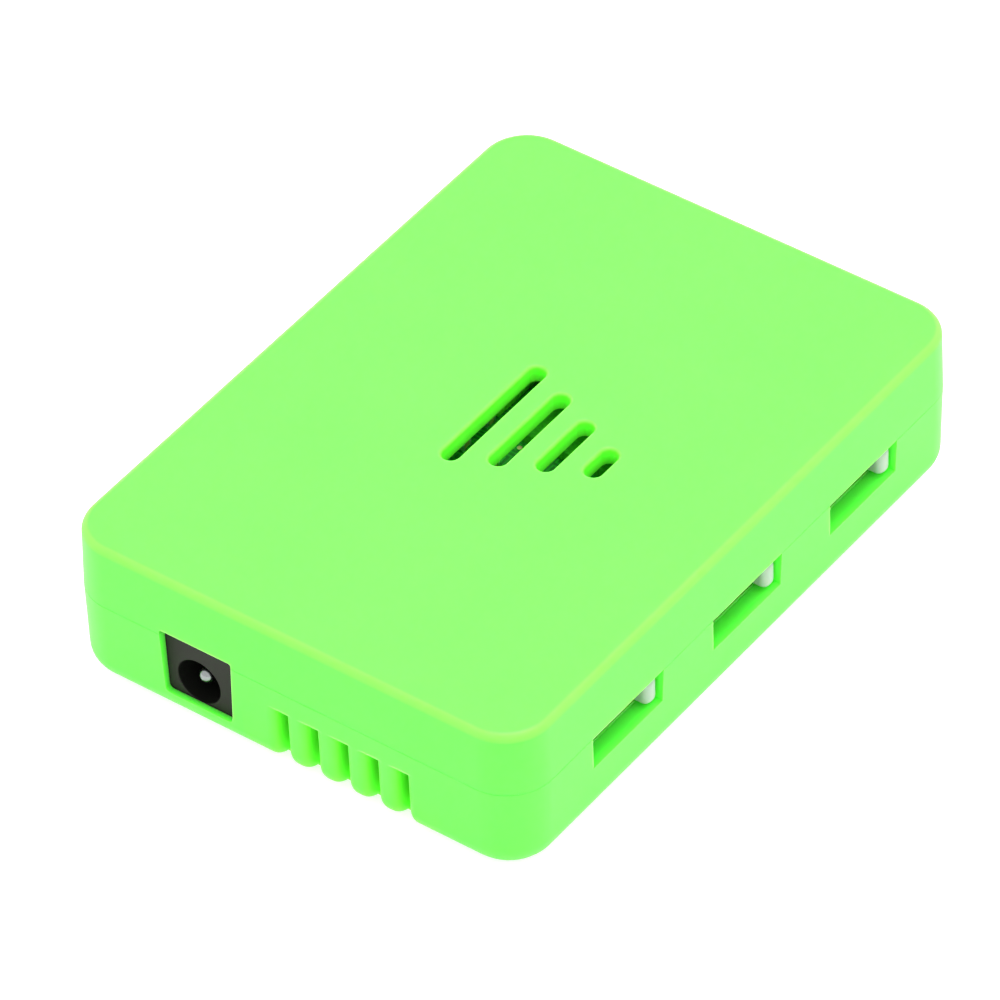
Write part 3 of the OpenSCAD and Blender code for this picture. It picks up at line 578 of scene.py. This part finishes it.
class StageLook(PropertyGroup):
    """Camera, floor and lights"""

    azimuth: FloatProperty(
        name="Azimuth", description="Turn of the camera from the front towards the right side",
        subtype="ANGLE", default=math.radians(37.28))
    elevation: FloatProperty(
        name="Elevation", description="Height of the camera over the horizon",
        subtype="ANGLE", default=math.radians(42.29))
    roll: FloatProperty(
        name="Roll", description="Tilt of the camera about its own axis",
        subtype="ANGLE", default=math.radians(-1.93))
    distance: FloatProperty(
        name="Distance", description="Distance from the camera to the object's base",
        unit="LENGTH", default=0.938)
    focal_length: FloatProperty(
        name="Focal length", description="Focal length of the lens, in millimetres",
        default=312.14)
    aim_right: FloatProperty(
        name="Aim right", description="Shift of the view to the camera's right",
        unit="LENGTH", default=-0.002213)
    aim_up: FloatProperty(
        name="Aim up", description="Shift of the view upwards",
        unit="LENGTH", default=0.00609)
    floor_colour: FloatVectorProperty(
        name="Floor colour", description="Colour of the floor", subtype="COLOR",
        size=3, min=0, max=1, default=(0.55, 0.55, 0.55))
    floor_glow: FloatProperty(
        name="Floor glow", description="Light that the floor gives off, which keeps it white",
        min=0, max=2, default=0.7)
    room_light: FloatProperty(
        name="Room light", description="Strength of the even light all round",
        min=0, max=5, default=1.5)
    key_light: FloatProperty(
        name="Key light", description="Power of the large overhead softbox, in watts",
        min=0, max=100, default=4.6)


# ---------- operators ----------

class COMPUTER_OT_case(Operator):
    """Model the cover and the tray with smooth roundings, softened edges and moulded plastic"""

    bl_idname = "computer.case"
    bl_label = "Case Shells"

    def execute(self, context):
        look = context.scene.case_look
        plastic = case_plastic(look)
        tray = self.with_round_bars(joined_copy("bottom_tray"), context.scene.vent_look)
        for bm, name, node in ((joined_copy("top_cover"), "cover", "top_cover"),
                               (tray, "tray", "bottom_tray")):
            smooth_by_angle(bm)
            piece = finished_piece(bm, name, "case", plastic, [node])
            soften_edges(piece, look.edge)
        self.window_ledges(plastic)
        return {"FINISHED"}

    def with_round_bars(self, tray, look):
        """The tray with the bars between its vents made anew, with round fronts."""
        half_bar = (look.pitch - look.slit) / 2
        half_row = look.count * look.pitch / 2
        left = look.middle - half_row - (look.rounding - BAR_OVERLAP) + half_bar
        right = 2 * look.middle - left
        zone = bmesh.new()
        add_block(zone, (left + BAR_OVERLAP, -50 * MM, -MM),
                  (right - BAR_OVERLAP, front_at(0) + look.depth, look.top))
        tray = combined(tray, zone, "DIFFERENCE")
        bars = bmesh.new()
        for i in range(look.count + 1):
            middle = look.middle + (i - look.count / 2) * look.pitch
            is_first, is_last = i == 0, i == look.count
            self.add_bar(bars, look, left if is_first else middle - half_bar,
                         right if is_last else middle + half_bar, not is_first, not is_last)
        bmesh.ops.recalc_face_normals(bars, faces=bars.faces)
        return combined(tray, bars, "UNION")

    def add_bar(self, bars, look, low, high, round_low, round_high):
        """A bar between x = low and high, swept down the wall and round its foot."""
        centre = Vector((0, front_at(FOOT_ROUND) + FOOT_ROUND / math.cos(DRAFT), FOOT_ROUND))
        rise = (look.top - FOOT_ROUND) / math.cos(DRAFT) + BAR_OVERLAP
        rise += look.depth * math.sin(DRAFT)
        back = look.depth + BAR_OVERLAP
        section = ((low, BAR_SINK), (high, BAR_SINK), (high, back), (low, back))
        verts = [bars.verts.new((x, depth - FOOT_ROUND, rise)) for x, depth in section]
        bars.faces.new(verts)
        rounded = [v for v, is_round in zip(verts, (round_low, round_high)) if is_round]
        bmesh.ops.bevel(bars, geom=rounded, offset=look.rounding - BAR_SINK, affect="VERTICES",
                        segments=10, profile=0.5, material=-1)
        bars.faces.ensure_lookup_table()
        face = bars.faces[-1]  # the bevel has made the section anew
        lean = Matrix.Rotation(DRAFT, 3, "X")
        bmesh.ops.rotate(bars, verts=face.verts, matrix=lean)
        bmesh.ops.translate(bars, verts=face.verts, vec=centre)
        moved = bmesh.ops.extrude_face_region(bars, geom=[face])["geom"]
        bmesh.ops.translate(bars, verts=[v for v in moved if isinstance(v, bmesh.types.BMVert)],
                            vec=lean @ Vector((0, 0, -rise)))
        bmesh.ops.spin(bars, geom=moved, cent=centre, axis=(1, 0, 0),
                       angle=math.pi / 2 - DRAFT, steps=12)

    def window_ledges(self, plastic):
        """A low upstand along the inner edge of each window's sill, under the lever."""
        inner, outer, inset = 0.02 * MM, 0.2 * MM, 1.2 * MM
        bottom, top_height = SILL_HEIGHT - 0.8 * MM, SILL_HEIGHT + 0.25 * MM
        bm = bmesh.new()
        for place in SWITCHES:
            low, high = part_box("switch_frame_" + place)
            verts = add_block(bm, (high.x + inner, low.y + inset, bottom),
                              (high.x + outer, high.y - inset, top_height))
            top = [e for e in bm.edges
                   if all(v in verts and v.co.z > SILL_HEIGHT for v in e.verts)]
            bmesh.ops.bevel(bm, geom=top, offset=0.06 * MM, affect="EDGES", segments=3,
                            profile=0.5, material=-1)
        smooth_by_angle(bm)
        ledges = finished_piece(bm, "window_ledges", "case", plastic)
        keep_flats(ledges)


class COMPUTER_OT_socket(Operator):
    """Model the power socket's body and give its metal parts their finishes"""

    bl_idname = "computer.socket"
    bl_label = "Power Socket"

    def execute(self, context):
        look = context.scene.socket_look
        refine("jack_housing", "socket_body", socket_plastic(look), edge=look.edge)
        refine("jack_pin", "socket_pin",
               metal("bright plate", (0.25, 0.265, 0.265), 0.2, 0.3 * MM), edge=0.02 * MM)
        refine("jack_contacts", "socket_terminals",
               metal("tinned brass", (0.8, 0.78, 0.72), 0.3, 0.3 * MM))
        return {"FINISHED"}


class COMPUTER_OT_switches(Operator):
    """Model the levers of the slide switches and finish their frames and contacts"""

    bl_idname = "computer.switches"
    bl_label = "Slide Switches"

    def execute(self, context):
        look = context.scene.switch_look
        white = lever_plastic(look)
        frame_metal = metal("plated steel", (0.62, 0.63, 0.62), 0.3, 0.4 * MM, (1, 0.15, 1))
        brass = metal("gilt brass", (0.83, 0.62, 0.25), 0.28, 0.3 * MM)
        base = black_plastic()
        for place in SWITCHES:
            bm = self.with_round_knob(joined_copy("switch_lever_" + place), place, look)
            smooth_by_angle(bm)
            lever = finished_piece(bm, "lever_" + place, "lever_" + place,
                                   white, ["switch_lever_" + place])
            soften_edges(lever, look.lever_edge)
            refine("switch_frame_" + place, "switch_shell_" + place, frame_metal)
            refine("switch_base_" + place, "switch_block_" + place, base)
            refine("switch_contacts_" + place, "switch_terminals_" + place, brass)
            refine("switch_wiper_" + place, "wiper_" + place, brass, "lever_" + place, 0.02 * MM)
        return {"FINISHED"}

    def with_round_knob(self, lever, place, look):
        """The lever with its knob made anew, rounded all round its outer end."""
        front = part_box("switch_frame_" + place)[1].x
        knob = [v.co.copy() for v in lever.verts if v.co.x > front]
        low, high = corners(knob)
        geom = lever.verts[:] + lever.edges[:] + lever.faces[:]
        cut = bmesh.ops.bisect_plane(lever, geom=geom, plane_co=(front, 0, 0), plane_no=(1, 0, 0),
                                     clear_outer=True)["geom_cut"]
        bmesh.ops.edgeloop_fill(lever, edges=[e for e in cut if isinstance(e, bmesh.types.BMEdge)])
        bm = bmesh.new()
        root = 0.4 * MM
        low.x = front - root
        add_block(bm, low, high)
        edges = [e for e in bm.edges if any(v.co.x > front for v in e.verts)]
        bmesh.ops.bevel(bm, geom=edges, offset=look.lever_rounding, affect="EDGES", segments=7,
                        profile=0.5, material=-1)
        return combined(lever, bm, "UNION")


class COMPUTER_OT_board(Operator):
    """Finish the circuit board and the parts on both its faces"""

    bl_idname = "computer.board"
    bl_label = "Circuit Board"

    def execute(self, context):
        look = context.scene.board_look
        laminate = board_laminate(look)
        resin = chip_resin()
        tin = metal("tin", (0.75, 0.74, 0.7), 0.32, 0.2 * MM)
        steel = metal("shield steel", (0.66, 0.67, 0.66), 0.34, 0.6 * MM, (1, 0.2, 1))
        aluminium = metal("drawn aluminium", (0.82, 0.83, 0.84), 0.28, 0.3 * MM, (1, 1, 0.1))
        black = black_plastic()
        for node, name, finish in (
                ("circuit_board", "board", laminate),
                ("wireless_board", "radio_board", laminate),
                ("processor", "processor_package",
                 package_laminate("package laminate", (0.048, 0.42, 0.014))),
                # The memory package's laminate is a brighter green than the processor's: partly
                # its own colour, partly painted green light that reaches it through the case.
                ("memory_chip", "memory_package",
                 package_laminate("memory laminate with painted light", (0.15, 0.78, 0.015))),
                ("storage_chip", "storage_package", resin),
                ("storage_leads", "storage_feet", tin),
                ("power_regulator", "regulator_package", resin),
                ("regulator_leads", "regulator_feet", tin),
                ("power_diode", "diode_package", resin),
                ("wireless_shield", "radio_shield", steel),
                ("clock_crystal", "crystal_can", steel),
                ("power_inductors", "inductors", ferrite()),
                ("bulk_capacitors", "capacitor_cans", aluminium),
                ("capacitor_bases", "capacitor_feet", black),
                ("small_capacitors", "chip_capacitors", ceramic()),
                ("serial_header", "header_block", black),
                ("header_pins", "header_posts",
                 metal("gilt pins", (0.85, 0.64, 0.26), 0.25, 0.3 * MM))):
            refine(node, name, finish)
        self.capacitor_ends(tin)
        self.solder_joints(tin)
        self.test_pads(metal("gilt pads", (0.8, 0.62, 0.3), 0.3, 0.2 * MM))
        return {"FINISHED"}

    def capacitor_ends(self, tin):
        """Tinned caps over both ends of each small capacitor."""
        share, margin = 0.24, 0.02 * MM
        bm = bmesh.new()
        for low, high in solids_of("small_capacitors"):
            size = high - low
            along = 0 if size.x > size.y else 1
            for end in (0, 1):
                cap = [low - Vector((margin,) * 3), high + Vector((margin,) * 3)]
                cap[1 - end][along] = low[along] + size[along] * (1 - share if end else share)
                verts = add_block(bm, *cap)
                edges = [e for e in bm.edges if all(v in verts for v in e.verts)]
                bmesh.ops.bevel(bm, geom=edges, offset=0.05 * MM, affect="EDGES", segments=2,
                                profile=0.5, material=-1)
        smooth_by_angle(bm, CONE_ANGLE)
        finished_piece(bm, "capacitor_ends", "case", tin)

    def solder_joints(self, tin):
        """A fillet of solder round each pin that comes up through the board."""
        tallest, spread = 0.7 * MM, 0.42 * MM
        board_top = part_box("circuit_board")[1].z
        bm = bmesh.new()
        for node in ("header_pins", "jack_contacts", "jack_pin", "switch_contacts_front",
                     "switch_contacts_middle", "switch_contacts_rear"):
            for low, high in solids_of(node, board_top):
                middle = (low + high) / 2
                radius = max(high.x - low.x, high.y - low.y) / 2
                height = min(tallest, high.z - board_top)
                joint = bmesh.ops.create_cone(
                    bm, cap_ends=True, segments=20, radius1=radius + spread,
                    radius2=radius * 0.9, depth=height,
                    matrix=Matrix.Translation((middle.x, middle.y, board_top + height / 2)))
                rims = [e for e in bm.edges if all(v in joint["verts"] for v in e.verts)
                        and all(v.co.z > board_top + height / 2 for v in e.verts)]
                bmesh.ops.bevel(bm, geom=rims, offset=0.1 * MM, affect="EDGES", segments=2,
                                profile=0.5, material=-1)
        smooth_by_angle(bm, CONE_ANGLE)
        finished_piece(bm, "solder_joints", "case", tin)

    def test_pads(self, gilt):
        """Round test pads beside the processor."""
        thickness, height = 0.05 * MM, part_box("circuit_board")[1].z + 0.024 * MM
        bm = bmesh.new()
        for x, y in TEST_PADS:
            bmesh.ops.create_cone(
                bm, cap_ends=True, segments=24, radius1=0.32 * MM, radius2=0.28 * MM,
                depth=thickness, matrix=Matrix.Translation((x, y, height)))
        smooth_by_angle(bm)
        finished_piece(bm, "test_pads", "case", gilt)


class COMPUTER_OT_screws(Operator):
    """Finish the case screws"""

    bl_idname = "computer.screws"
    bl_label = "Case Screws"

    def execute(self, context):
        zinc = metal("zinc plate", (0.7, 0.71, 0.72), 0.28, 0.25 * MM)
        refine("case_screws", "screws", zinc, edge=0.06 * MM)
        return {"FINISHED"}


class COMPUTER_OT_stage(Operator):
    """Set up the pale floor, the soft lights and the camera"""

    bl_idname = "computer.stage"
    bl_label = "Stage"

    def execute(self, context):
        look = context.scene.stage_look
        self.floor(look)
        self.lights(context.scene, look)
        self.camera(context.scene, look)
        context.scene.view_settings.view_transform = "Standard"
        return {"FINISHED"}

    def floor(self, look):
        """A wide flat floor, just under the object's base."""
        bm = bmesh.new()
        bmesh.ops.create_grid(bm, x_segments=1, y_segments=1, size=4,
                              matrix=Matrix.Translation((0, 0, -0.01 * MM)))
        mesh = bpy.data.meshes.new("floor")
        bm.to_mesh(mesh)
        bm.free()
        floor = bpy.data.objects.new("floor", mesh)
        bpy.context.scene.collection.objects.link(floor)
        finish = Finish("floor", tuple(look.floor_colour), 0.9)
        finish.set(Emission_Color=(1, 1, 1, 1), Emission_Strength=look.floor_glow)
        mesh.materials.append(finish.material)

    def lights(self, scene, look):
        """Even room light and one softbox overhead."""
        world = bpy.data.worlds.new("room")
        world.use_nodes = True
        background = world.node_tree.nodes["Background"]
        background.inputs["Color"].default_value = (1, 1, 1, 1)
        background.inputs["Strength"].default_value = look.room_light
        scene.world = world
        lamp = bpy.data.lights.new("softbox", "AREA")
        lamp.shape = "RECTANGLE"
        lamp.size, lamp.size_y = 0.4, 0.4
        lamp.energy = look.key_light
        softbox = bpy.data.objects.new("softbox", lamp)
        softbox.location = (0.05, 0.05, 0.62)
        softbox.rotation_euler = (-softbox.location).to_track_quat("-Z", "Y").to_euler()
        scene.collection.objects.link(softbox)

    def camera(self, scene, look):
        """The camera, turned round the object's base and aimed a little off its middle."""
        lens = bpy.data.cameras.new("camera")
        lens.sensor_width = 36
        lens.lens = look.focal_length
        lens.clip_start = 0.05
        lens.clip_end = 20
        camera = bpy.data.objects.new("camera", lens)
        turn = Euler((math.pi / 2 - look.elevation, 0, look.azimuth)).to_matrix()
        turn = turn @ Matrix.Rotation(look.roll, 3, "Z")
        right, up, back = turn.col
        camera.location = look.distance * back + look.aim_right * right + look.aim_up * up
        camera.rotation_euler = turn.to_euler()
        scene.collection.objects.link(camera)
        scene.camera = camera


STEPS = (
    COMPUTER_OT_case, COMPUTER_OT_socket, COMPUTER_OT_switches, COMPUTER_OT_board,
    COMPUTER_OT_screws, COMPUTER_OT_stage,
)
LOOKS = {
    "case_look": CaseLook, "vent_look": VentLook, "socket_look": SocketLook,
    "switch_look": SwitchLook, "board_look": BoardLook, "stage_look": StageLook,
}


class VIEW3D_PT_computer(Panel):
    """Lists the steps and their settings"""

    bl_label = "Boxed Computer"
    bl_space_type = "VIEW_3D"
    bl_region_type = "UI"
    bl_category = "Boxed Computer"

    def draw(self, context):
        for step in STEPS:
            self.layout.operator(step.bl_idname)
        for look in LOOKS:
            settings = getattr(context.scene, look)
            box = self.layout.box()
            box.label(text=settings.bl_rna.description)
            for name in type(settings).__annotations__:
                box.prop(settings, name)


CLASSES = (*LOOKS.values(), *STEPS, VIEW3D_PT_computer)


def register():
    for cls in CLASSES:
        bpy.utils.register_class(cls)
    for name, group in LOOKS.items():
        setattr(bpy.types.Scene, name, PointerProperty(type=group))


def unregister():
    for name in LOOKS:
        delattr(bpy.types.Scene, name)
    for cls in reversed(CLASSES):
        bpy.utils.unregister_class(cls)


def main():
    register()
    bpy.ops.computer.case()
    bpy.ops.computer.socket()
    bpy.ops.computer.switches()
    bpy.ops.computer.board()
    bpy.ops.computer.screws()
    bpy.ops.computer.stage()


if __name__ == "__main__":
    main()
